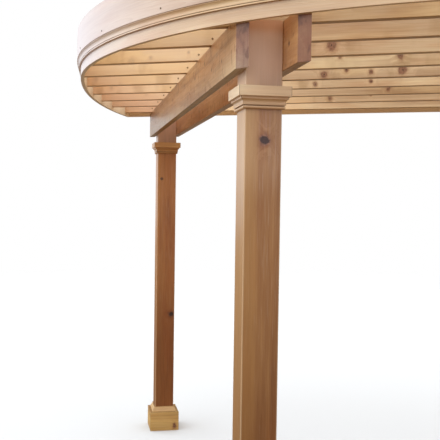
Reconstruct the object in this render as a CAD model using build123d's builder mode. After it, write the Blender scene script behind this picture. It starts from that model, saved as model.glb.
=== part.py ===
"""A D-shaped timber pergola: two splayed pairs of posts and beams, rafters and a curved rim."""
import os
from math import atan2, cos, hypot, radians, sin, sqrt

from build123d import *

os.makedirs("parts", exist_ok=True)

# Driving dimensions, in millimetres. The working origin is the centre of the front arc, at
# ground level: X runs along the rafters, Y from the curved front to the straight back, Z up.

# Posts, two on each side, the rear ones set wider apart. The clearances are between a post's
# corner and the inner face of the rim, at the front, at the back and at the sides.
post_side = 139.7
post_height = 2438.0
post_edge_radius = 4.0
front_post_x = 734.0
post_front_clearance = 31.0
post_back_clearance = 18.0
post_side_clearance = 246.5

# Beams, one on each face of a pair of posts, their tops level with the post tops
beam_thickness = 38.0
beam_depth = 184.0
board_edge_radius = 2.5

# Rafters, which lie on the beams and the post tops and run from rim to rim. The first and the
# last one are set by the gap between them and the rim, and the others by their pitch.
rafter_pitch = 325.4
first_rafter_gap = 284.5
last_rafter_gap = 63.0
rafter_thickness = 38.0
rafter_depth = 184.0

# Curved rim: a front arc, two flatter side arcs tangent to it, and a straight back. The radii
# and the back edge are those of the outer face of the inner board.
front_radius = 2134.5
side_radius = 5086.0
shoulder_degrees = 63.6
rim_back_y = 929.0
rim_board_thickness = 19.0
rim_board_depth = 235.0
rim_drop = 22.0
face_board_thickness = 19.0
face_board_depth = 148.0

# Moulding under the face board of the rim: bead, quirk, fillet, cove and top fillet
rim_moulding_foot = 9.0
rim_moulding_height = 35.0
rim_moulding_projection = 16.0
rim_moulding_bead = 5.0
rim_moulding_quirk = 3.0
rim_moulding_fillet = 4.0

# Cap collar of each post, with a gap between it and the beams, and the crown moulding under it
collar_gap = 59.0
collar_height = 37.0
collar_projection = 28.5
crown_height = 45.0
crown_projection = 19.5
crown_foot = 4.0
crown_bead = 12.0
crown_groove = 2.0
crown_band = 8.0
crown_band_step = 7.0
crown_fillet = 10.0
crown_quirk = 2.0

# Plinth of boards at the foot of each post, and the moulding on top of it
plinth_thickness = 38.0
plinth_height = 140.0
base_moulding_height = 38.0
base_moulding_width = 20.0
base_moulding_top = 6.0

# Clearances: a mitre is left open by this much, and board ends clear the rim by the other
mitre_gap = 0.4
end_gap = 0.3

# Levels and places that follow from the sizes above
rim_bottom = post_height - rim_drop
face_board_bottom = rim_bottom + rim_board_depth - face_board_depth
moulding_bottom = face_board_bottom - rim_moulding_height
collar_top = post_height - beam_depth - collar_gap
roof_depth = front_radius + rim_back_y + 2 * face_board_thickness
arc_centre_y = front_radius + face_board_thickness - roof_depth / 2
roof_plane = Plane.XY.shift_origin((0, arc_centre_y, 0))
side_centre_x = (side_radius - front_radius) * sin(radians(shoulder_degrees))
side_centre_y = (side_radius - front_radius) * cos(radians(shoulder_degrees))

# Places of the posts on the right: the front one inside the front arc, the rear one inside the
# back and the side arc
corner_reach = post_side / sqrt(2)
post_inset = rim_board_thickness + corner_reach
front_post_y = -sqrt((front_radius - post_inset - post_front_clearance) ** 2 - front_post_x ** 2)
rear_post_y = rim_back_y - post_inset - post_back_clearance
rear_post_radius = side_radius - post_inset - post_side_clearance
rear_post_x = sqrt(rear_post_radius ** 2 - (rear_post_y - side_centre_y) ** 2) - side_centre_x
post_spacing = hypot(rear_post_x - front_post_x, rear_post_y - front_post_y)
splay = atan2(rear_post_x - front_post_x, rear_post_y - front_post_y)
beam_offset = (post_side + beam_thickness) / 2


def bent_plane(side, height=0.0):
    """Plane on the front post of one side, -1 left or 1 right, its Y along the two posts."""
    origin = (front_post_x * side, arc_centre_y + front_post_y, height)
    return Plane(origin=origin, x_dir=(cos(splay), -side * sin(splay), 0), z_dir=(0, 0, 1))


def post_places():
    """Name and plane of each post, with the plane's axes along the faces of the post."""
    places = []
    for side, side_name in ((-1, "left"), (1, "right")):
        front = bent_plane(side)
        rear = front.shift_origin(front.from_local_coords((0, post_spacing, 0)))
        places += [(f"front_{side_name}", front), (f"rear_{side_name}", rear)]
    return places


def save(part, label):
    """Name one finished sub-part and write it."""
    part.label = label
    export_step(part, f"parts/{label}.step")
    print(label, len(part.solids()), round(part.volume / 1000))


def back_corner(inset):
    """Right back corner of the roof's plan, a given distance inside the outer face of the rim."""
    y = rim_back_y - inset
    x = sqrt((side_radius - inset) ** 2 - (y - side_centre_y) ** 2) - side_centre_x
    return Vector(x, y, 0)


def inside_of_rim(inset):
    """Plan of the roof, a given distance inside the outer face of the rim."""
    shoulder = Vector(0, inset - front_radius, 0).rotate(Axis.Z, shoulder_degrees)
    corner = back_corner(inset)
    with BuildSketch(Plane.XY) as plan:
        with BuildLine(roof_plane):
            RadiusArc((-shoulder.X, shoulder.Y), (shoulder.X, shoulder.Y), inset - front_radius)
            for side in (-1, 1):
                start = (side * shoulder.X, shoulder.Y)
                RadiusArc(start, (side * corner.X, corner.Y), side * (inset - side_radius))
            Line((-corner.X, corner.Y), (corner.X, corner.Y))
        make_face()
    return plan.sketch


def trim_to_rim(height):
    """Cut the part being built to the inner face of the rim, with the end clearance."""
    extrude(inside_of_rim(rim_board_thickness + end_gap), amount=height, mode=Mode.INTERSECT)


# Posts: square timber with eased edges, standing on the ground
for name, place in post_places():
    with BuildPart() as post:
        with BuildSketch(place):
            RectangleRounded(post_side, post_side, post_edge_radius)
        extrude(amount=post_height)
    save(post.part, f"post_{name}")


# Beams: a board on the outer and the inner face of each pair of posts, scribed to the rim
for side, side_name in ((-1, "left"), (1, "right")):
    for face in (-1, 1):
        bent = bent_plane(side, post_height - beam_depth / 2)
        middle = bent.from_local_coords((face * beam_offset, post_spacing / 2, 0))
        section = Plane(origin=middle, x_dir=bent.x_dir, z_dir=bent.y_dir)
        with BuildPart() as beam:
            with BuildSketch(section):
                RectangleRounded(beam_thickness, beam_depth, board_edge_radius)
            extrude(amount=post_spacing, both=True)
            trim_to_rim(post_height)
        place_name = "outer" if face == side else "inner"
        save(beam.part, f"beam_{side_name}_{place_name}")


# Rafters: boards on edge, side by side from the curved front to the back, scribed to the rim
first_rafter_y = rim_board_thickness + first_rafter_gap + rafter_thickness / 2 - front_radius
last_rafter_y = rim_back_y - rim_board_thickness - last_rafter_gap - rafter_thickness / 2
pitched_rafters = int((last_rafter_y - first_rafter_y) / rafter_pitch)
rafter_places = [first_rafter_y + number * rafter_pitch for number in range(pitched_rafters)]
rafter_places.append(last_rafter_y)
for number, rafter_y in enumerate(rafter_places, start=1):
    section = Plane.YZ.shift_origin((0, arc_centre_y + rafter_y, post_height + rafter_depth / 2))
    with BuildPart() as rafter:
        with BuildSketch(section):
            RectangleRounded(rafter_thickness, rafter_depth, board_edge_radius)
        extrude(amount=side_radius, both=True)
        trim_to_rim(post_height + rafter_depth)
    save(rafter.part, f"rafter_{number}")


# Rim: three layers, each swept round the front arc and along the sides, and closed by a back
def rim_board():
    """Section of the inner board of the rim, measured outwards from its face and up."""
    with BuildSketch() as section:
        with Locations((-rim_board_thickness / 2, rim_bottom + rim_board_depth / 2)):
            Rectangle(rim_board_thickness, rim_board_depth)
    return section.sketch


def face_board():
    """Section of the board on the upper part of the rim's outer face."""
    with BuildSketch() as section:
        with Locations((face_board_thickness / 2, face_board_bottom + face_board_depth / 2)):
            Rectangle(face_board_thickness, face_board_depth)
    return section.sketch


def rim_moulding():
    """Section of the moulding under the face board: bead, quirk, fillet, cove, top fillet."""
    foot, quirk, nose = rim_moulding_foot, rim_moulding_quirk, rim_moulding_projection
    bead = moulding_bottom + rim_moulding_bead
    ledge = bead + quirk
    cove = ledge + rim_moulding_fillet
    top = moulding_bottom + rim_moulding_height
    lip = top - rim_moulding_fillet
    with BuildSketch() as section:
        with BuildLine():
            Polyline((0, top), (0, moulding_bottom), (foot, moulding_bottom), (foot, bead))
            Polyline((foot, bead), (foot - quirk, bead), (foot - quirk, ledge), (foot, ledge), (foot, cove))
            RadiusArc((foot, cove), (nose, lip), lip - cove)
            Polyline((nose, lip), (nose, top), (0, top))
        make_face()
    return section.sketch


def rear_mitre(side, shift):
    """Upright plane of the mitre at one back corner, moved along its normal by a shift."""
    outer, inner = back_corner(0), back_corner(rim_board_thickness)
    mitre = outer - inner
    normal = Vector(-side * mitre.Y, mitre.X, 0).normalized()
    corner = Vector(side * outer.X, arc_centre_y + outer.Y, 0)
    return Plane(origin=corner + normal * shift, z_dir=normal)


for draw_section, label in ((rim_board, "rim_board"), (face_board, "rim_face_board"),
                            (rim_moulding, "rim_moulding")):
    for side, side_name in ((-1, "left"), (1, "right")):
        shoulder = side * shoulder_degrees
        with BuildPart() as side_run:
            with BuildLine(roof_plane):
                CenterArc((0, 0), front_radius, 270, shoulder)
                side_centre = (-side * side_centre_x, side_centre_y)
                CenterArc(side_centre, side_radius, 270 + shoulder, side * 90 - shoulder)
            start = (0, arc_centre_y - front_radius, 0)
            with BuildSketch(Plane(origin=start, x_dir=(0, -1, 0), z_dir=(-1, 0, 0))):
                add(draw_section())
            sweep()
            split(bisect_by=Plane(origin=(side * mitre_gap / 2, 0, 0), z_dir=(side, 0, 0)))
            split(bisect_by=rear_mitre(side, -mitre_gap / 2), keep=Keep.BOTTOM)
        save(side_run.part, f"{label}_{side_name}")

    with BuildPart() as back_run:
        middle = (0, arc_centre_y + rim_back_y, 0)
        with BuildSketch(Plane(origin=middle, x_dir=(0, 1, 0), z_dir=(1, 0, 0))):
            add(draw_section())
        extrude(amount=side_radius, both=True)
        for side in (-1, 1):
            split(bisect_by=rear_mitre(side, mitre_gap / 2))
    save(back_run.part, f"{label}_back")


# Trim round each post: four mitred lengths of a section on the faces of the square
def cap_section():
    """Section of the cap collar: a plain band."""
    with BuildSketch() as section:
        with Locations((collar_projection / 2, collar_top - collar_height / 2)):
            Rectangle(collar_projection, collar_height)
    return section.sketch


def crown_section():
    """Section of the crown moulding: bead, groove, band, cove, quirk and top fillet."""
    top = collar_top - collar_height
    bottom = top - crown_height
    bead = bottom + crown_bead
    groove = bead + crown_groove
    band = groove + crown_band
    step = crown_foot + crown_band_step
    lip = top - crown_fillet
    with BuildSketch() as section:
        with BuildLine():
            Polyline((0, top), (0, bottom), (crown_foot, bottom))
            ThreePointArc((crown_foot, bottom), (crown_foot + crown_bead / 2, bottom + crown_bead / 2),
                          (crown_foot, bead))
            Polyline((crown_foot, bead), (crown_foot, groove), (step, groove), (step, band))
            RadiusArc((step, band), (crown_projection - crown_quirk, lip), lip - band)
            Polyline((crown_projection - crown_quirk, lip), (crown_projection, lip),
                     (crown_projection, top), (0, top))
        make_face()
    return section.sketch


def plinth_section():
    """Section of a plinth board, on the ground."""
    with BuildSketch() as section:
        with Locations((plinth_thickness / 2, plinth_height / 2)):
            Rectangle(plinth_thickness, plinth_height)
    return section.sketch


def base_moulding_section():
    """Section of the bevelled moulding that stands on the plinth."""
    foot = plinth_height + base_moulding_top
    top = plinth_height + base_moulding_height
    with BuildSketch() as section:
        with BuildLine():
            Polyline((0, top), (0, plinth_height), (base_moulding_width, plinth_height),
                     (base_moulding_width, foot), (base_moulding_top, top - base_moulding_top),
                     (base_moulding_top, top), (0, top))
        make_face()
    return section.sketch


trims = ((cap_section, "cap_collar"), (crown_section, "crown_moulding"),
         (plinth_section, "plinth"), (base_moulding_section, "base_moulding"))
for draw_section, label in trims:
    with BuildPart() as length:
        face = (0, -post_side / 2, 0)
        with BuildSketch(Plane(origin=face, x_dir=(0, -1, 0), z_dir=(-1, 0, 0))):
            add(draw_section())
        extrude(amount=post_side, both=True)
        for side in (-1, 1):
            mitre = Vector(side, 1, 0).normalized()
            split(bisect_by=Plane(origin=mitre * (-mitre_gap / 2), z_dir=mitre), keep=Keep.BOTTOM)
    for name, place in post_places():
        with BuildPart(place) as trim:
            with PolarLocations(0, 4):
                add(length.part)
        save(trim.part, f"{label}_{name}")
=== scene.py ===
"""Looks of the cedar pergola: the grain, knots and joints of its timber, its screws, and the studio."""
from math import cos, radians, sin

import bpy
from mathutils import Matrix, Vector


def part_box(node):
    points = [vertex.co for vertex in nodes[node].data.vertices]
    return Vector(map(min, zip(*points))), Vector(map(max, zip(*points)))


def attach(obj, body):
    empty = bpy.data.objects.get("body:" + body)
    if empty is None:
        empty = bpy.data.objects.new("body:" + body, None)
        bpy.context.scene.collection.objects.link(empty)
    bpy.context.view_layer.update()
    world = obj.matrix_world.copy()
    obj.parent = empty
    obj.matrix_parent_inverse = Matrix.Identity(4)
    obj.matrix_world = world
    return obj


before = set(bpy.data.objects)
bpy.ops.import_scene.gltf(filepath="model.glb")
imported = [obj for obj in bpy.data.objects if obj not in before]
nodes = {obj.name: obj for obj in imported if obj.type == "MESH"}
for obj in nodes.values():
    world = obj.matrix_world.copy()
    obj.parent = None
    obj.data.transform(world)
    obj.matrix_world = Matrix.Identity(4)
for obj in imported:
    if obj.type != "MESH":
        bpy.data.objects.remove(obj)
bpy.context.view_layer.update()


# Posts: four square cedar timbers with the heart boxed inside them, planed, eased at the corners
# and oiled. They stand on the ground and carry a beam on two of their faces. The helpers for
# cedar are here, where the first timber needs them.
SIDES = {"left": -1, "right": 1}
to_right = Vector((1, 0, 0))
to_back = Vector((0, 1, 0))
up = Vector((0, 0, 1))


def add_node(tree, kind, inputs=(), **settings):
    """Add a node; its inputs go by name or number, and are values or sockets to link from."""
    node = tree.nodes.new(kind)
    for key, value in settings.items():
        setattr(node, key, value)
    for key, value in dict(inputs).items():
        if isinstance(value, bpy.types.NodeSocket):
            tree.links.new(value, node.inputs[key])
        else:
            node.inputs[key].default_value = value
    return node


def maths(tree, operation, *values):
    return add_node(tree, "ShaderNodeMath", enumerate(values), operation=operation).outputs[0]


def absolute(tree, value):
    return maths(tree, "ABSOLUTE", value)


def vector_maths(tree, operation, *values):
    node = add_node(tree, "ShaderNodeVectorMath", enumerate(values), operation=operation)
    return node.outputs["Value" if operation in ("LENGTH", "DOT_PRODUCT") else "Vector"]


def combine(tree, x, y, z):
    return add_node(tree, "ShaderNodeCombineXYZ", enumerate((x, y, z))).outputs[0]


def separate(tree, vector):
    return add_node(tree, "ShaderNodeSeparateXYZ", {0: vector}).outputs[:]


def noise(tree, vector, stretch, detail=2.0, roughness=0.5):
    """Noise of a vector in metres, with so many lumps a metre along each of its axes."""
    inputs = {"Vector": vector_maths(tree, "MULTIPLY", vector, stretch), "Scale": 1.0,
              "Detail": detail, "Roughness": roughness}
    return add_node(tree, "ShaderNodeTexNoise", inputs).outputs[0]


def swing(tree, vector, stretch, detail):
    """The same noise, but to either side of zero."""
    return maths(tree, "SUBTRACT", noise(tree, vector, stretch, detail), 0.5)


def fade(tree, value, start, end, low=0.0, high=1.0):
    """Smooth step of a value, from low at the start to high at the end."""
    inputs = {"Value": value, "From Min": start, "From Max": end, "To Min": low, "To Max": high}
    return add_node(tree, "ShaderNodeMapRange", inputs, interpolation_type="SMOOTHSTEP").outputs[0]


def mix_colour(tree, factor, first, second, blend="MIX"):
    inputs = {0: factor, 6: first, 7: second}
    return add_node(tree, "ShaderNodeMix", inputs, data_type="RGBA", blend_type=blend).outputs[2]


def tint(tree, factor, wood, shade):
    """Multiply a colour by a shade where the factor is 1."""
    return mix_colour(tree, factor, wood, (*shade, 1.0), "MULTIPLY")


def choose(tree, factor, first, second):
    """One value where the factor is 0 and the other where it is 1."""
    return add_node(tree, "ShaderNodeMix", {0: factor, 2: first, 3: second}).outputs[0]


def colour(red, green, blue):
    """Linear colour from the three numbers, 0 to 255, of a paint chart."""
    def linear(number):
        share = number / 255
        return share / 12.92 if share <= 0.04045 else ((share + 0.055) / 1.055) ** 2.4
    return (linear(red), linear(green), linear(blue), 1.0)


no_knot = 100.0
knot_stretch = 1.1


def cedar_figure():
    """Node group for cedar, from a place in a board: along the grain, through and across."""
    tree = bpy.data.node_groups.new("cedar_figure", "ShaderNodeTree")
    for name, kind in (("Board", "Vector"), ("Face", "Vector"), ("Pith", "Vector"),
                       ("Seed", "Float"), ("Knot", "Float"), ("Knottiness", "Float"),
                       ("Core", "Float"), ("Saw marks", "Float"), ("Light", "Color"),
                       ("Middle", "Color"), ("Dark", "Color")):
        tree.interface.new_socket(name, in_out="INPUT", socket_type="NodeSocket" + kind)
    for name, kind in (("Colour", "Color"), ("Roughness", "Float"), ("Height", "Float")):
        tree.interface.new_socket(name, in_out="OUTPUT", socket_type="NodeSocket" + kind)
    given = tree.nodes.new("NodeGroupInput").outputs
    seed = given["Seed"]
    seed_stride = (13.7, 7.3, 5.9)
    seed_shift = vector_maths(tree, "MULTIPLY", combine(tree, seed, seed, seed), seed_stride)
    board = vector_maths(tree, "ADD", given["Board"], seed_shift)

    # Small natural knots, one in some of the cells of a pattern on the face of the board
    cells_per_metre = 2.3
    smallest_knot = 0.004
    knot_spread = 0.009
    raggedness = 1.1
    core_share = 0.5
    cell = add_node(tree, "ShaderNodeTexVoronoi",
                    {"Vector": vector_maths(tree, "ADD", given["Face"], seed_shift),
                     "Scale": cells_per_metre}, voronoi_dimensions="2D")
    chance, size, _ = add_node(tree, "ShaderNodeSeparateColor", {0: cell.outputs["Color"]}).outputs[:]
    knot_radius = maths(tree, "MULTIPLY_ADD", size, knot_spread, smallest_knot)
    from_middle = maths(tree, "DIVIDE", cell.outputs["Distance"], knot_radius)
    from_middle = maths(tree, "DIVIDE", from_middle, cells_per_metre)
    missing = maths(tree, "GREATER_THAN", chance, given["Knottiness"])
    natural = maths(tree, "MULTIPLY_ADD", missing, no_knot, from_middle)
    knot = maths(tree, "MINIMUM", natural, given["Knot"])
    core = maths(tree, "MINIMUM", maths(tree, "DIVIDE", natural, core_share), given["Core"])
    ragged = maths(tree, "MULTIPLY_ADD", swing(tree, board, (42, 42, 42), 3), raggedness, 1.0)
    knot = maths(tree, "MULTIPLY", knot, ragged)
    core = maths(tree, "MULTIPLY", core, ragged)
    near_knot = fade(tree, knot, 4.5, 0.5)

    # Growth rings: shells round the pith, wavering along the board and swollen at a knot
    ring_width = 0.0042
    ring_waver = 0.05
    knot_swelling = 0.016
    latewood_sharpness = 2.5
    faintest_ring = 0.3
    waver_y = maths(tree, "MULTIPLY", swing(tree, board, (0.9, 3, 3), 3), ring_waver)
    waver_z = maths(tree, "MULTIPLY", swing(tree, board, (0.7, 4, 4), 3), ring_waver)
    section = vector_maths(tree, "SUBTRACT", given["Board"], given["Pith"])
    section = vector_maths(tree, "MULTIPLY", section, (0, 1, 1))
    section = vector_maths(tree, "ADD", section, combine(tree, 0.0, waver_y, waver_z))
    radius = vector_maths(tree, "LENGTH", section)
    radius = maths(tree, "MULTIPLY_ADD", near_knot, knot_swelling, radius)
    ring = maths(tree, "DIVIDE", radius, ring_width)
    latewood = maths(tree, "POWER", maths(tree, "FRACT", ring), latewood_sharpness)
    ring_strength = add_node(tree, "ShaderNodeTexWhiteNoise", {"W": maths(tree, "FLOOR", ring)},
                             noise_dimensions="1D").outputs[0]
    ring_strength = maths(tree, "MULTIPLY_ADD", ring_strength, 1.0 - faintest_ring, faintest_ring)
    latewood = maths(tree, "MULTIPLY", latewood, ring_strength)

    # Broad bands of sapwood and heartwood, blotches, streaks, and fine fibres along the grain
    band_share, blotch_share, streak_share = 0.45, 0.38, 0.17
    reddish_shade = (0.90, 0.72, 0.62)
    latewood_shade = (0.62, 0.43, 0.30)
    fibre_shade = (0.70, 0.56, 0.46)
    fibre_gleam = (1.0, 0.93, 0.82, 1.0)
    bands = noise(tree, combine(tree, separate(tree, board)[0], radius, seed), (0.5, 45, 1), 3)
    blotches = noise(tree, board, (1.6, 9, 9), 3)
    streaks = noise(tree, board, (1.8, 75, 75), 4, 0.6)
    fibres = noise(tree, board, (9, 260, 260), 3, 0.6)
    tone = maths(tree, "MULTIPLY_ADD", bands, band_share, maths(tree, "MULTIPLY", blotches, blotch_share))
    tone = maths(tree, "MULTIPLY_ADD", streaks, streak_share, tone)
    wood = mix_colour(tree, fade(tree, tone, 0.36, 0.50), given["Light"], given["Middle"])
    wood = mix_colour(tree, fade(tree, tone, 0.49, 0.66), wood, given["Dark"])
    reddish = fade(tree, noise(tree, board, (2.4, 13, 13), 2), 0.48, 0.64, 0, 0.45)
    wood = tint(tree, reddish, wood, reddish_shade)
    wood = tint(tree, maths(tree, "MULTIPLY", latewood, 0.30), wood, latewood_shade)
    wood = tint(tree, fade(tree, fibres, 0.50, 0.72, 0, 0.22), wood, fibre_shade)
    wood = mix_colour(tree, fade(tree, fibres, 0.48, 0.30, 0, 0.06), wood, fibre_gleam, "SCREEN")

    # Knots: a reddish halo in the wood, a mottled brown body and a dark core
    halo_shade = (0.66, 0.48, 0.40)
    knot_tone, knot_fleck, core_tone = colour(150, 104, 80), colour(116, 76, 58), colour(54, 34, 30)
    wood = tint(tree, fade(tree, knot, 2.4, 0.9, 0, 0.5), wood, halo_shade)
    mottle = fade(tree, noise(tree, board, (130, 130, 130), 2), 0.40, 0.60)
    body = mix_colour(tree, mottle, knot_tone, knot_fleck)
    wood = mix_colour(tree, fade(tree, knot, 1.35, 0.75, 0, 0.85), wood, body)
    wood = mix_colour(tree, fade(tree, core, 1.25, 0.8, 0, 0.92), wood, core_tone)

    # Marks of the band saw, as faint lines and short stains across the board
    saw_shade = (0.72, 0.62, 0.54)
    stain_shade = (0.50, 0.34, 0.25)
    saw_lines = fade(tree, noise(tree, board, (260, 9, 5), 2), 0.5, 0.7)
    saw = maths(tree, "MULTIPLY", saw_lines, given["Saw marks"])
    wood = tint(tree, maths(tree, "MULTIPLY", saw, 0.5), wood, saw_shade)
    stains = fade(tree, noise(tree, board, (34, 6, 16), 2), 0.57, 0.66)
    stains = maths(tree, "MULTIPLY", stains, given["Saw marks"])
    wood = tint(tree, maths(tree, "MULTIPLY", stains, 0.8), wood, stain_shade)

    # Relief of the surface, and its roughness
    fibre_relief, latewood_relief, saw_depth, knot_depth = 0.5, 0.35, 0.4, 0.8
    smoothest, fibre_roughness, latewood_polish = 0.30, 0.20, 0.10
    height = maths(tree, "MULTIPLY_ADD", fibres, fibre_relief,
                   maths(tree, "MULTIPLY", latewood, latewood_relief))
    height = maths(tree, "SUBTRACT", height, maths(tree, "MULTIPLY", saw, saw_depth))
    height = maths(tree, "SUBTRACT", height, fade(tree, knot, 0.5, 0.1, 0, knot_depth))
    rough = maths(tree, "MULTIPLY_ADD", fibres, fibre_roughness, smoothest)
    rough = maths(tree, "MULTIPLY_ADD", latewood, -latewood_polish, rough)
    add_node(tree, "NodeGroupOutput", {"Colour": wood, "Roughness": rough, "Height": height})
    return tree


def nearest_knot(tree, face, knots, core_radius):
    """Distances to a board's own knots: in radii of the nearest one, and of its dark core."""
    nearest, nearest_core = no_knot, no_knot
    for along, across, size in knots:
        away = vector_maths(tree, "SUBTRACT", face, (along, across, 0))
        away = vector_maths(tree, "DIVIDE", away, (size, size * knot_stretch, 1))
        away = vector_maths(tree, "LENGTH", away)
        nearest = maths(tree, "MINIMUM", away, nearest)
        core = maths(tree, "MULTIPLY", away, size / min(core_radius, size))
        nearest_core = maths(tree, "MINIMUM", core, nearest_core)
    return nearest, nearest_core


def object_place(tree):
    return tree.nodes.new("ShaderNodeTexCoord").outputs["Object"]


def board_place(tree, middle, axes):
    """Place in a board, whose axes run along the grain, through it and across it."""
    inputs = {"Vector": object_place(tree), "Location": middle,
              "Rotation": Matrix(axes).transposed().to_euler()}
    return add_node(tree, "ShaderNodeMapping", inputs, vector_type="TEXTURE").outputs[0]


def board_face(tree, place):
    """Place on the two broad faces of a board, which a knot goes right through."""
    along, _, across = separate(tree, place)
    return place, combine(tree, along, across, 0.0)


def blank_material(name):
    """A new material with an empty node tree."""
    material = bpy.data.materials.new(name)
    material.use_nodes = True
    material.node_tree.nodes.clear()
    return material, material.node_tree


figure_group = cedar_figure()
oil_coat = 0.25
oil_roughness = 0.25
oil_gloss = 0.5
grain_depth = 0.0009
grain_strength = 0.45
# Tops that face the sky are greyed by weather and darkened with painted shade against the strong overhead
# light
weathered_top_and_shade = (0.40, 0.39, 0.40)
rain_roughness = 0.4
rain_dulling = 0.35
end_grain_shade = (0.56, 0.46, 0.49)
joint_shade = (0.10, 0.06, 0.04)


def cedar(name, middle, axes, tones, faces=board_face, pith=(0, -0.09, 0.03), seed=0.0, knots=(),
          knottiness=0.25, core=0.0035, saw_marks=0.0, tone_and_light=None, joints=None, end_grain=None):
    """Oiled cedar for one piece. Tones are its light, middle and dark colours."""
    material, tree = blank_material(name)
    timber = board_place(tree, middle, axes)
    place, face = faces(tree, timber)
    light, dull, dark = (colour(*tone) for tone in tones)
    knot, knot_core = nearest_knot(tree, face, knots, core)
    figure = add_node(tree, "ShaderNodeGroup",
                      {"Board": place, "Face": face, "Pith": pith, "Seed": seed, "Knot": knot,
                       "Core": knot_core, "Knottiness": knottiness, "Saw marks": saw_marks,
                       "Light": light, "Middle": dull, "Dark": dark}, node_tree=figure_group).outputs
    wood = figure["Colour"]
    # The piece's own marks, and the painted light and shade that are given for it
    if tone_and_light:
        wood = tone_and_light(tree, timber, wood)
    normal = tree.nodes.new("ShaderNodeNewGeometry").outputs["Normal"]
    # Tops are greyer from weather and darker with painted shade, which holds down the strong light from
    # overhead
    facing_up = fade(tree, separate(tree, normal)[2], 0.4, 0.8)
    wood = tint(tree, facing_up, wood, weathered_top_and_shade)
    if end_grain:
        facing = absolute(tree, vector_maths(tree, "DOT_PRODUCT", normal, tuple(end_grain)))
        wood = tint(tree, fade(tree, facing, 0.3, 0.5), wood, end_grain_shade)
    if joints:
        wood = tint(tree, joints(tree, timber), wood, joint_shade)
    bump = add_node(tree, "ShaderNodeBump",
                    {"Strength": grain_strength, "Distance": grain_depth, "Height": figure["Height"]})
    skin = add_node(tree, "ShaderNodeBsdfPrincipled", {
        "Base Color": wood, "Coat Roughness": oil_roughness, "Normal": bump.outputs[0],
        "Roughness": maths(tree, "MULTIPLY_ADD", facing_up, rain_roughness, figure["Roughness"]),
        "Specular IOR Level": maths(tree, "MULTIPLY_ADD", facing_up, -rain_dulling, oil_gloss),
        "Coat Weight": maths(tree, "MULTIPLY_ADD", facing_up, -oil_coat, oil_coat)})
    add_node(tree, "ShaderNodeOutputMaterial", {"Surface": skin.outputs[0]})
    return material


def finish(node, material):
    """Give a CAD node its material."""
    nodes[node].data.materials.clear()
    nodes[node].data.materials.append(material)


def middle_of(node):
    low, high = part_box(node)
    return (low + high) / 2


def reach(node, direction):
    """Lowest and highest place of a node along a direction."""
    places = [vertex.co.dot(direction) for vertex in nodes[node].data.vertices]
    return min(places), max(places)


def bent_axes(side_name):
    """Directions along a side's line of posts and square to it, towards the right."""
    line = middle_of(f"post_rear_{side_name}") - middle_of(f"post_front_{side_name}")
    along = line.normalized()
    return along, along.cross(up)


def nearer_front_or_back(tree, across, through):
    """1 where the nearest face of a post is its front or its back, and 0 where it is a side."""
    return maths(tree, "GREATER_THAN", absolute(tree, through), absolute(tree, across))


def post_face(tree, place):
    """Place on a post's faces, numbered front, left, back and right; each has its own knots."""
    face_spacing = 11.0
    height, across, through = separate(tree, place)
    on_front_or_back = nearer_front_or_back(tree, across, through)
    on_back = maths(tree, "GREATER_THAN", through, 0.0)
    on_right = maths(tree, "GREATER_THAN", across, 0.0)
    number = choose(tree, on_front_or_back, maths(tree, "MULTIPLY_ADD", on_right, 2.0, 1.0),
                    maths(tree, "MULTIPLY", on_back, 2.0))
    along = maths(tree, "MULTIPLY_ADD", number, face_spacing, height)
    return place, combine(tree, along, choose(tree, on_front_or_back, through, across), 0.0)


def post_sapwood_and_light(sapwood, sky_light_share):
    """Sapwood on the left, and painted light: shade below, bluish sky light higher up, a sheen near the
    top, shadow at the rafters, highlights at the corners.
    """
    low_height, plain_height, sky_light_height = 0.6, 1.75, 1.93
    cap_height, sheen_height, shade_height, top_height = 2.10, 2.30, 2.370, 2.415
    heartwood_edge, sapwood_edge, edge_wander = -0.006, -0.040, 0.06
    face_edge, highlight_edge = 0.0635, 0.068
    # Shades and tones of painted light and shade; sapwood_tone alone is the wood's own colour
    painted_low_shade, painted_sky_light, painted_roof_shadow = (0.55, 0.455, 0.365), (1.20, 1.35, 1.75), (0.81, 0.62, 0.48)
    sapwood_tone, painted_sheen_tone, painted_highlight_tone = colour(196, 149, 93), colour(231, 197, 176), colour(230, 200, 164)

    def tone_and_light(tree, place, wood):
        height, across, through = separate(tree, place)
        wander = swing(tree, place, (2.5, 12, 12), 2)
        edge = maths(tree, "MULTIPLY_ADD", wander, edge_wander, across)
        edge = fade(tree, edge, heartwood_edge, sapwood_edge, 0, sapwood)
        wood = mix_colour(tree, edge, wood, sapwood_tone)
        # Painted shade towards the ground, painted bluish sky light higher up, a painted sheen near the
        # top and painted shadow just under the rafters
        wood = tint(tree, fade(tree, height, plain_height, low_height), wood, painted_low_shade)
        wood = tint(tree, fade(tree, height, plain_height, sky_light_height, 0, sky_light_share), wood, painted_sky_light)
        wood = mix_colour(tree, fade(tree, height, cap_height, sheen_height, 0, 0.75), wood, painted_sheen_tone)
        wood = tint(tree, fade(tree, height, shade_height, top_height), wood, painted_roof_shadow)
        # A painted highlight along the eased corners
        nearer = maths(tree, "MINIMUM", absolute(tree, across), absolute(tree, through))
        return mix_colour(tree, fade(tree, nearer, face_edge, highlight_edge, 0, 0.4), wood, painted_highlight_tone)
    return tone_and_light


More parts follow.
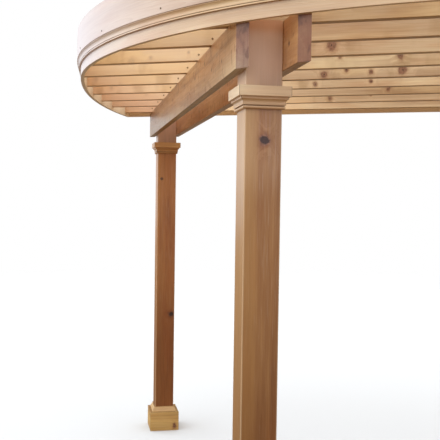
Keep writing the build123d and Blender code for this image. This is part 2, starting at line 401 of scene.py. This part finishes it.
post_seed = 0.4
post_pith = (0, 0.012, -0.015)
post_tones = {
    "front_left": ((181, 135, 88), (159, 112, 71), (131, 86, 55)),
    "rear_left": ((206, 146, 88), (186, 124, 72), (156, 98, 58)),
    "front_right": ((200, 150, 100), (180, 128, 84), (150, 100, 66)),
    "rear_right": ((206, 148, 92), (184, 124, 74), (154, 98, 60)),
}
post_knots = {
    "front_left": ((2.000, 0.004, 0.019),),
    "rear_left": ((1.92, -0.038, 0.009), (0.887, 0.044, 0.021)),
    "front_right": ((1.42, 0.02, 0.010), (0.60, -0.035, 0.009)),
    "rear_right": ((1.15, -0.01, 0.011),),
}
post_cores = {"front": 0.015, "rear": 0.014}
post_sapwood_and_light_by_row = {"front": post_sapwood_and_light(0.5, 1.0), "rear": post_sapwood_and_light(0.15, 0.0)}
for number, (name, tones) in enumerate(post_tones.items()):
    row, side_name = name.split("_")
    post = f"post_{name}"
    along, right = bent_axes(side_name)
    foot = middle_of(post)
    foot.z = 0
    finish(post, cedar(post, foot, (up, right, along), tones, post_face, pith=post_pith,
                       seed=number + post_seed, knots=post_knots[name], knottiness=0.03,
                       core=post_cores[row], tone_and_light=post_sapwood_and_light_by_row[row]))


# Beams: two cedar boards on edge to each side, on the outer and the inner face of its posts, with
# their ends cut to the curve of the rim. They came rough from the saw and show its marks.
beam_seed = 11.3
beam_pith = (0, 0.10, -0.05)
low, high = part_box("beam_left_outer")
beam_half_depth = (high.z - low.z) / 2
face_start, edge_end = 0.0020, 0.0008


def shaded_lower_edge(tree, above_edge, wood, shade):
    """Painted shade on the lower edge of a board and at its eased corners."""
    return tint(tree, fade(tree, above_edge, face_start, edge_end), wood, shade)


# Painted shade on the beam's lower edge
def beam_shaded_edge(tree, place, wood):
    above_edge = maths(tree, "ADD", separate(tree, place)[2], beam_half_depth)
    return shaded_lower_edge(tree, above_edge, wood, (0.74, 0.70, 0.56))


def outer_beam_light_and_shade(tree, place, wood):
    """Browner above with painted shade, paler below with painted sky light, and darker behind, where less
    of the sky reaches under the rim.
    """
    painted_upper_shade, painted_lower_light, rear_shade = (0.87, 0.78, 0.62), (1.05, 1.25, 1.34), (0.70, 0.66, 0.62)
    along, _, above = separate(tree, place)
    upper_part = fade(tree, above, -0.035, 0.07)
    lower_part = fade(tree, above, -0.01, -0.075)
    rear_part = fade(tree, along, -0.6, 0.9)
    wood = tint(tree, upper_part, wood, painted_upper_shade)
    wood = tint(tree, lower_part, wood, painted_lower_light)
    wood = beam_shaded_edge(tree, place, wood)
    return tint(tree, rear_part, wood, rear_shade)


def inner_beam_shade(tree, place, wood):
    """Painted shade on the end that stands out ahead of the front post, close behind the rim."""
    painted_front_end_shade = (0.86, 0.82, 0.74)
    front_end = fade(tree, separate(tree, place)[0], -1.45, -1.55)
    return tint(tree, front_end, beam_shaded_edge(tree, place, wood), painted_front_end_shade)


beam_tones = {
    "outer": ((222, 184, 140), (200, 156, 116), (166, 122, 90)),
    "inner": ((218, 168, 114), (198, 144, 94), (164, 112, 74)),
}
beam_painted_light = {"outer": outer_beam_light_and_shade, "inner": inner_beam_shade}
beam_knots = {
    "left_outer": ((-1.28, -0.018, 0.008), (-1.05, -0.014, 0.007), (-0.87, 0.042, 0.007),
                   (-0.60, 0.02, 0.006), (-0.42, -0.03, 0.007), (-0.25, 0.035, 0.006),
                   (0.25, 0.02, 0.007)),
    "left_inner": ((-1.62, -0.006, 0.006), (-0.62, 0.03, 0.008), (0.35, -0.03, 0.007)),
    "right_outer": ((-0.9, 0.02, 0.007), (0.5, -0.03, 0.009)),
    "right_inner": ((-0.4, 0.01, 0.009), (0.9, 0.03, 0.006)),
}
for number, (name, knots) in enumerate(beam_knots.items()):
    side_name, place_name = name.split("_")
    beam = f"beam_{name}"
    along, right = bent_axes(side_name)
    line_middle = (middle_of(f"post_front_{side_name}") + middle_of(f"post_rear_{side_name}")) / 2
    low, high = reach(beam, right)
    middle = line_middle + right * ((low + high) / 2 - line_middle.dot(right))
    middle.z = middle_of(beam).z
    finish(beam, cedar(beam, middle, (along, -right, up), beam_tones[place_name], pith=beam_pith,
                       seed=number + beam_seed, knots=knots, core=0.006, saw_marks=0.8,
                       tone_and_light=beam_painted_light[place_name], end_grain=along))


# Rafters: nine cedar boards on edge, planed, laid across the beams and cut to the rim at both
# ends. Knots are given by their place along the board from its middle and up from its lower edge.
rafter_count = 9
rafter_seed = 21.7
rafter_tones = (
    ((242, 222, 182), (221, 194, 156), (184, 152, 118)),
    ((236, 214, 174), (211, 183, 146), (173, 139, 107)),
    ((230, 204, 166), (204, 174, 138), (166, 131, 100)),
)


def rafter_light_and_tone(tree, place, wood):
    """Paler towards the ends with painted light from the open sky, pinker beside the rim, darker in
    patches, and painted shade below.
    """
    painted_end_light, pink_shade = colour(255, 227, 191), (0.93, 0.82, 0.82)
    straw_shade, patch_shade, edge_shade = (1.03, 1.0, 0.90), (0.82, 0.77, 0.71), (0.72, 0.62, 0.48)
    along, _, above = separate(tree, place)
    away = absolute(tree, along)
    open_part = fade(tree, away, 0.6, 1.4, 0, 0.7)
    beside_rim = fade(tree, away, 1.6, 2.2)
    # Painted light from the open sky towards the ends
    wood = mix_colour(tree, open_part, wood, painted_end_light)
    wood = tint(tree, beside_rim, wood, pink_shade)
    on_roof = object_place(tree)
    straw = fade(tree, noise(tree, on_roof, (2.2, 3, 5), 2), 0.46, 0.62)
    wood = tint(tree, straw, wood, straw_shade)
    dark_patches = fade(tree, noise(tree, on_roof, (6, 2, 2.5), 3), 0.54, 0.70)
    wood = tint(tree, dark_patches, wood, patch_shade)
    return shaded_lower_edge(tree, above, wood, edge_shade)


rafter_knots = {
    1: ((0.62, 0.03, 0.012),),
    2: ((-1.30, 0.06, 0.008), (0.75, 0.05, 0.016)),
    3: ((-0.55, 0.048, 0.020), (-1.526, 0.002, 0.018), (-1.426, 0.022, 0.008), (-1.232, 0.042, 0.007)),
    4: ((-0.258, 0.050, 0.014), (-0.548, 0.056, 0.008), (-1.65, 0.064, 0.010)),
    5: ((-0.668, 0.026, 0.016), (-0.549, 0.046, 0.010), (-0.417, 0.030, 0.012),
        (-0.253, 0.036, 0.021), (-2.022, 0.038, 0.012)),
    6: ((-0.763, 0.024, 0.012), (-0.44, 0.032, 0.010), (-2.065, 0.036, 0.010)),
    7: ((-0.36, 0.030, 0.011), (-0.352, 0.042, 0.009), (-1.954, 0.042, 0.012)),
    8: ((-0.757, 0.026, 0.013), (-0.487, 0.043, 0.008)),
    9: ((0.4, 0.05, 0.010),),
}
for number in range(1, rafter_count + 1):
    rafter = f"rafter_{number}"
    low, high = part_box(rafter)
    middle = Vector((0, (low.y + high.y) / 2, low.z))
    rafter_pith = (0, 0.06 + 0.02 * (number % 4), 0.04 * (number % 5))
    finish(rafter, cedar(rafter, middle, (to_right, to_back, up), rafter_tones[number % 3],
                         pith=rafter_pith, seed=number + rafter_seed, knots=rafter_knots[number],
                         knottiness=0.1, core=0.003, tone_and_light=rafter_light_and_tone, end_grain=to_right))


# Rim: boards bent round the front, laminated, and a straight back. An inner board, a face board on
# its upper part and a moulding under the face board, each in a left, a right and a back length.
front_radius = 2.1345
side_radius = 5.086
shoulder = radians(63.6)
arc_middle = Vector((0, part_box("rim_board_left")[0].y + front_radius, 0))
side_arc_middle = (side_radius - front_radius) * Vector((sin(shoulder), cos(shoulder), 0))


def minus(tree, value):
    return maths(tree, "MULTIPLY", value, -1.0)


def along_rim(tree, place):
    """Place along the bend of the rim from its middle, out from its board's face, and up."""
    x, y, z = separate(tree, place)
    left = minus(tree, absolute(tree, x))
    front = combine(tree, left, y, 0.0)
    side = vector_maths(tree, "SUBTRACT", front, tuple(side_arc_middle))
    side_x, side_y, _ = separate(tree, side)
    front_turn = maths(tree, "ARCTAN2", minus(tree, left), minus(tree, y))
    side_turn = maths(tree, "ARCTAN2", minus(tree, side_x), minus(tree, side_y))
    on_side = maths(tree, "GREATER_THAN", front_turn, shoulder)
    front_run = maths(tree, "MULTIPLY", front_turn, front_radius)
    side_start = shoulder * (front_radius - side_radius)
    side_run = maths(tree, "MULTIPLY_ADD", side_turn, side_radius, side_start)
    front_out = maths(tree, "SUBTRACT", vector_maths(tree, "LENGTH", front), front_radius)
    side_out = maths(tree, "SUBTRACT", vector_maths(tree, "LENGTH", side), side_radius)
    run = choose(tree, on_side, front_run, side_run)
    run = maths(tree, "MULTIPLY", run, maths(tree, "SIGN", x))
    out = choose(tree, on_side, front_out, side_out)
    return combine(tree, run, out, z), combine(tree, run, z, 0.0)


def painted_side_skylight(tree, place, wood):
    """Paler and greyer round the sides, where painted sky light falls on the rim."""
    skylight_tone = colour(240, 233, 241)
    away = absolute(tree, separate(tree, along_rim(tree, place)[0])[0])
    round_side = fade(tree, away, 0.9, 2.3, 0, 0.75)
    return mix_colour(tree, round_side, wood, skylight_tone)


def rim_board_painted_light(inner_tone):
    """The same on the inner board, whose inner face is pale with painted daylight from over the rafters.
    """
    def tone_and_light(tree, place, wood):
        out = separate(tree, along_rim(tree, place)[0])[1]
        on_inside = fade(tree, out, -0.012, -0.016)
        inside = mix_colour(tree, 0.9, wood, colour(*inner_tone))
        return mix_colour(tree, on_inside, painted_side_skylight(tree, place, wood), inside)
    return tone_and_light


def moulding_light_and_shade(tree, place, wood):
    """The same on the moulding, with painted shade in its quirk, under its foot and under the face board.
    """
    groove_shadow_tint = (0.68, 0.57, 0.46)
    low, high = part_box("rim_moulding_left")
    _, out, z = separate(tree, along_rim(tree, place)[0])
    quirk = fade(tree, out, 0.0085, 0.0070)
    under_foot = fade(tree, z, low.z + 0.0015, low.z + 0.0005)
    under_board = fade(tree, z, high.z - 0.0025, high.z - 0.0012)
    groove_shadow = maths(tree, "MAXIMUM", maths(tree, "MAXIMUM", quirk, under_foot), under_board)
    return tint(tree, groove_shadow, painted_side_skylight(tree, place, wood), groove_shadow_tint)


def back_inner_face(tree, place, wood):
    """Painted daylight, pale on the inner face of the straight back, which looks to the front."""
    daylit_tone = colour(246, 224, 188)
    on_inside = fade(tree, separate(tree, place)[1], -0.006, -0.009, 0, 0.85)
    return mix_colour(tree, on_inside, wood, daylit_tone)


def middle_joint(tree, place):
    """The butt joint at the middle of the front, where the two bent lengths meet."""
    return fade(tree, absolute(tree, separate(tree, place)[0]), 0.0022, 0.0010)


rim_seed = 41.2
rim_back_seed = 51.8
rim_pith = (0, 0.08, 2.52)
rim_tones = {
    "rim_board": ((236, 206, 168), (222, 188, 150), (196, 160, 126)),
    "rim_face_board": ((234, 208, 184), (218, 190, 166), (198, 166, 142)),
    "rim_moulding": ((242, 210, 164), (228, 192, 146), (198, 160, 120)),
}
# Painted daylight on the inner face of the rim boards, paler on the left
inner_tones = {"left": (255, 242, 212), "right": (224, 198, 162)}
back_painted_light = {"rim_board": back_inner_face}
for number, (layer, tones) in enumerate(rim_tones.items()):
    for side_name, side in SIDES.items():
        tone_and_light = {"rim_board": rim_board_painted_light(inner_tones[side_name]), "rim_face_board": painted_side_skylight,
                   "rim_moulding": moulding_light_and_shade}[layer]
        piece = f"{layer}_{side_name}"
        finish(piece, cedar(piece, arc_middle, (to_right, to_back, up), tones, along_rim,
                            pith=rim_pith, seed=number + rim_seed + side, knottiness=0.06,
                            tone_and_light=tone_and_light, joints=middle_joint))
    piece = f"{layer}_back"
    finish(piece, cedar(piece, middle_of(piece), (to_right, to_back, up), tones,
                        seed=number + rim_back_seed, knottiness=0.12,
                        tone_and_light=back_painted_light.get(layer)))


# Screws of coated steel, brown in the rafters and dark bronze in the rim. Each rafter is
# toe-screwed to each beam from both of its faces, and the rim is screwed to both ends of each
# rafter through its face board.
def screw_heads():
    """Geometry nodes that set a screw head with a square recess on each point, facing outwards."""
    sides_of_head = 20
    tree = bpy.data.node_groups.new("screw_heads", "GeometryNodeTree")
    sockets = {}
    for name, kind in (("Geometry", "Geometry"), ("Head radius", "Float"), ("Head height", "Float"),
                       ("Recess", "Float"), ("Steel", "Material")):
        sockets[name] = tree.interface.new_socket(name, in_out="INPUT", socket_type="NodeSocket" + kind)
    tree.interface.new_socket("Geometry", in_out="OUTPUT", socket_type="NodeSocketGeometry")
    given = tree.nodes.new("NodeGroupInput").outputs
    depth = maths(tree, "MULTIPLY", given["Head height"], 2.0)
    head = add_node(tree, "GeometryNodeMeshCylinder",
                    {"Vertices": sides_of_head, "Radius": given["Head radius"],
                     "Depth": depth}).outputs["Mesh"]
    size = combine(tree, given["Recess"], given["Recess"], depth)
    hole = add_node(tree, "GeometryNodeMeshCube", {"Size": size}).outputs["Mesh"]
    lift = combine(tree, 0.0, 0.0, given["Head height"])
    hole = add_node(tree, "GeometryNodeTransform", {"Geometry": hole, "Translation": lift}).outputs[0]
    cut = add_node(tree, "GeometryNodeMeshBoolean", {0: head, 1: hole}, operation="DIFFERENCE").outputs[0]
    facing = add_node(tree, "GeometryNodeInputNamedAttribute", {"Name": "facing"},
                      data_type="FLOAT_VECTOR").outputs["Attribute"]
    turn = add_node(tree, "FunctionNodeAlignEulerToVector", {"Vector": facing}, axis="Z").outputs[0]
    heads = add_node(tree, "GeometryNodeInstanceOnPoints",
                     {"Points": given["Geometry"], "Instance": cut, "Rotation": turn}).outputs[0]
    heads = add_node(tree, "GeometryNodeRealizeInstances", {0: heads}).outputs[0]
    heads = add_node(tree, "GeometryNodeSetMaterial", {"Geometry": heads, "Material": given["Steel"]})
    add_node(tree, "NodeGroupOutput", {0: heads.outputs[0]})
    return tree, sockets


def steel(name, dark_coat, light_coat, metallic):
    """Bronze coating, duller in patches and rubbed to bright steel here and there."""
    material, tree = blank_material(name)
    patches = noise(tree, object_place(tree), (700, 700, 700), 3)
    bright_steel = colour(148, 134, 116)
    rubbed = fade(tree, patches, 0.56, 0.68)
    coat = mix_colour(tree, fade(tree, patches, 0.35, 0.60), colour(*dark_coat), colour(*light_coat))
    skin = add_node(tree, "ShaderNodeBsdfPrincipled",
                    {"Base Color": mix_colour(tree, rubbed, coat, bright_steel),
                     "Metallic": metallic, "Roughness": fade(tree, patches, 0.3, 0.7, 0.55, 0.35)})
    add_node(tree, "ShaderNodeOutputMaterial", {"Surface": skin.outputs[0]})
    return material


rim_steel = steel("coated_steel", (88, 70, 56), (112, 90, 70), 0.85)
rafter_steel = steel("brown_steel", (138, 98, 66), (164, 122, 84), 0.3)
screw_group, screw_sockets = screw_heads()
head_height = 0.0008
recess_share = 0.9


def fasten(name, places, head_radius, head_steel):
    """Make one piece of all the screws at some places, each with the way that it faces."""
    mesh = bpy.data.meshes.new(name)
    mesh.from_pydata([place for place, _ in places], [], [])
    facing = mesh.attributes.new("facing", "FLOAT_VECTOR", "POINT")
    for item, (_, way) in zip(facing.data, places):
        item.vector = way
    screws = bpy.data.objects.new(name, mesh)
    bpy.context.scene.collection.objects.link(screws)
    modifier = screws.modifiers.new("heads", "NODES")
    modifier.node_group = screw_group
    sizes = {"Head radius": head_radius, "Head height": head_height,
             "Recess": recess_share * head_radius, "Steel": head_steel}
    for socket_name, value in sizes.items():
        modifier[screw_sockets[socket_name].identifier] = value
    bpy.context.view_layer.update()
    evaluated = screws.evaluated_get(bpy.context.evaluated_depsgraph_get())
    plain = bpy.data.meshes.new_from_object(evaluated)
    screws.modifiers.clear()
    screws.data = plain
    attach(screws, "root")


toe_screw_radius = 0.0045
toe_screw_up = 0.028
toe_screw_off = 0.016
rim_screw_radius = 0.0040
rim_screw_down = 0.008
rim_screw_back = {1: 0.016}
outside = 0.5
toe_screws = []
rim_screws = []
for number in range(1, rafter_count + 1):
    rafter = f"rafter_{number}"
    low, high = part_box(rafter)
    for side_name, side in SIDES.items():
        along, right = bent_axes(side_name)
        for place_name in beam_tones:
            line = sum(reach(f"beam_{side_name}_{place_name}", right)) / 2
            for face_y, way in ((low.y, Vector((0, -1, 0))), (high.y, to_back)):
                x = (line - face_y * right.y) / right.x + way.y * -side * toe_screw_off
                toe_screws.append((Vector((x, face_y, low.z + toe_screw_up)), way))
        middle = (low + high) / 2 + Vector((0, rim_screw_back.get(number, 0), -rim_screw_down))
        beyond = Vector((side * (high.x + outside), middle.y, middle.z))
        rafter_end = nodes[rafter].ray_cast(beyond, -side * to_right)[1]
        board = nodes[f"rim_face_board_{side_name}"]
        outwards = (board.closest_point_on_mesh(rafter_end)[1] - rafter_end).normalized()
        _, place, way, _ = board.ray_cast(rafter_end + outside * outwards, -outwards)
        rim_screws.append((place, way))
fasten("rafter_screws", toe_screws, toe_screw_radius, rafter_steel)
fasten("rim_screws", rim_screws, rim_screw_radius, rim_steel)


# Trim of the posts: collar, crown moulding, plinth and base moulding, each of four lengths with
# mitred ends that are glued and nailed round the post.
length_spacing = 3.0


def round_post(tree, place):
    """Place in the length of trim on the nearest face of the post; the front length is number 1."""
    height, across, through = separate(tree, place)
    on_front_or_back = nearer_front_or_back(tree, across, through)
    along = choose(tree, on_front_or_back, through, across)
    out = choose(tree, on_front_or_back, across, through)
    number = maths(tree, "MULTIPLY_ADD", on_front_or_back, 2.0, maths(tree, "SIGN", out))
    along = maths(tree, "MULTIPLY_ADD", number, length_spacing, along)
    return combine(tree, along, absolute(tree, out), height), combine(tree, along, height, 0.0)


def mitre_joint(strength):
    """The dark line of the mitre at each corner of the post."""
    def joint(tree, place):
        _, across, through = separate(tree, place)
        off = maths(tree, "SUBTRACT", absolute(tree, across), absolute(tree, through))
        return fade(tree, absolute(tree, off), 0.0022, 0.0008, 0, strength)
    return joint


trim_seed = 61.4
trim_seed_step = 0.31
trim_tones = {
    "cap_collar": ((248, 226, 190), (236, 210, 174), (210, 180, 146)),
    "crown_moulding": ((240, 208, 166), (226, 187, 146), (196, 158, 122)),
    "plinth": ((228, 192, 124), (208, 168, 104), (172, 132, 82)),
    "base_moulding": ((216, 180, 126), (198, 160, 108), (164, 126, 84)),
}
rear_trim_tones = {
    "cap_collar": ((230, 180, 118), (212, 158, 98), (178, 126, 78)),
    "crown_moulding": ((222, 170, 108), (204, 150, 92), (170, 120, 74)),
}
mitre_strengths = {"cap_collar": 0.8}
trim_knots = {
    "plinth_rear_left": ((length_spacing + 0.077, 0.030, 0.014), (length_spacing + 0.074, 0.045, 0.010)),
}
for number, (trim, tones) in enumerate(trim_tones.items()):
    joints = mitre_joint(mitre_strengths.get(trim, 0.35))
    for turn, post_name in enumerate(post_tones):
        row, side_name = post_name.split("_")
        piece = f"{trim}_{post_name}"
        along, right = bent_axes(side_name)
        foot = middle_of(piece)
        foot.z = 0
        shown_tones = rear_trim_tones.get(trim, tones) if row == "rear" else tones
        finish(piece, cedar(piece, foot, (up, right, along), shown_tones, round_post,
                            pith=(0, 0.16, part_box(piece)[0].z - 0.05),
                            seed=number + trim_seed + trim_seed_step * turn,
                            knots=trim_knots.get(piece, ()), knottiness=0.05, joints=joints))


# Floor of the studio: a pale disc that takes the pergola's shadow and fades out into the
# background. Light that comes back up from it is dim and warm.
floor_radius = 40.0
floor_step = 5
floor_seen = (0.50, 0.50, 0.50, 1)
floor_reflected = (0.15, 0.10, 0.055, 1)
fade_start, fade_end = 6.0, 15.0
floor_mesh = bpy.data.meshes.new("floor")
corners = [(floor_radius * cos(radians(turn)), floor_radius * sin(radians(turn)), 0)
           for turn in range(0, 360, floor_step)]
floor_mesh.from_pydata(corners, [], [range(len(corners))])
floor = bpy.data.objects.new("floor", floor_mesh)
bpy.context.scene.collection.objects.link(floor)
floor_material, tree = blank_material("floor")
distance = vector_maths(tree, "LENGTH", object_place(tree))
seen_directly = tree.nodes.new("ShaderNodeLightPath").outputs["Is Camera Ray"]
floor_tone = mix_colour(tree, seen_directly, floor_reflected, floor_seen)
pale = add_node(tree, "ShaderNodeBsdfDiffuse", {"Color": floor_tone})
clear = tree.nodes.new("ShaderNodeBsdfTransparent")
clearness = maths(tree, "MULTIPLY", seen_directly, fade(tree, distance, fade_start, fade_end))
blend = add_node(tree, "ShaderNodeMixShader", {0: clearness, 1: pale.outputs[0], 2: clear.outputs[0]})
add_node(tree, "ShaderNodeOutputMaterial", {"Surface": blend.outputs[0]})
floor_mesh.materials.append(floor_material)


# Studio light: a pale surround that is brightest overhead and on the left and dark below, and a very
# broad lamp high on the left. The camera and gloss see the surround as plain white.
light_below = 0.03
side_light = 0.35
overhead_light = 2.35
left_light = 1.5
left_light_colour = (0.68, 0.85, 1.0, 1)
towards_left = Vector((-1.0, -0.15, 0.15))
horizon_from, horizon_to = -0.10, 0.05
white = (1, 1, 1, 1)
world = bpy.data.worlds.new("studio")
bpy.context.scene.world = world
world.use_nodes = True
tree = world.node_tree
tree.nodes.clear()
direction = tree.nodes.new("ShaderNodeTexCoord").outputs["Generated"]
height = separate(tree, direction)[2]
above_horizon = fade(tree, height, horizon_from, horizon_to, light_below, 1.0)
from_above = fade(tree, height, 0.1, 0.9, side_light, overhead_light)
from_above = maths(tree, "MULTIPLY", from_above, above_horizon)
from_left = vector_maths(tree, "DOT_PRODUCT", direction, tuple(towards_left.normalized()))
from_left = maths(tree, "MULTIPLY", fade(tree, from_left, 0.3, 1.0, 0.0, left_light), above_horizon)
sky = add_node(tree, "ShaderNodeBackground", {"Color": white, "Strength": from_above})
glow = add_node(tree, "ShaderNodeBackground", {"Color": left_light_colour, "Strength": from_left})
even = add_node(tree, "ShaderNodeAddShader", {0: sky.outputs[0], 1: glow.outputs[0]})
plain_white = add_node(tree, "ShaderNodeBackground", {"Color": white, "Strength": 1.0})
ray = tree.nodes.new("ShaderNodeLightPath").outputs
seen = maths(tree, "MAXIMUM", ray["Is Glossy Ray"], ray["Is Transmission Ray"])
seen = maths(tree, "MAXIMUM", ray["Is Camera Ray"], seen)
both = add_node(tree, "ShaderNodeMixShader", {0: seen, 1: even.outputs[0], 2: plain_white.outputs[0]})
add_node(tree, "ShaderNodeOutputWorld", {"Surface": both.outputs[0]})

lamp_strength = 0.7
lamp_spread = radians(100)
lamp_towards = Vector((-0.70, -0.35, 0.75))
lamp = bpy.data.lights.new("lamp", "SUN")
lamp.energy = lamp_strength
lamp.angle = lamp_spread
lamp_object = bpy.data.objects.new("lamp", lamp)
lamp_object.rotation_euler = lamp_towards.to_track_quat("Z", "Y").to_euler()
bpy.context.scene.collection.objects.link(lamp_object)


# Camera: at eye level in front of the pergola, turned to its left half as in the photograph. Its
# focal length is in pixels of a picture of the stated width.
image_width = 440
focal_pixels = 734.3
sensor_width = 36.0
camera_place = Vector((-0.131, -3.946, 1.790))
level = radians(90)
turn_left = radians(15.49)
tilt_down = radians(1.81)
lean = radians(0.80)
camera_data = bpy.data.cameras.new("camera")
camera_data.sensor_width = sensor_width
camera_data.lens = focal_pixels / image_width * sensor_width
camera = bpy.data.objects.new("camera", camera_data)
camera.matrix_world = (Matrix.Translation(camera_place) @ Matrix.Rotation(turn_left, 4, "Z")
                       @ Matrix.Rotation(level - tilt_down, 4, "X") @ Matrix.Rotation(lean, 4, "Z"))
bpy.context.scene.collection.objects.link(camera)
bpy.context.scene.camera = camera
bpy.context.scene.view_settings.view_transform = "Standard"
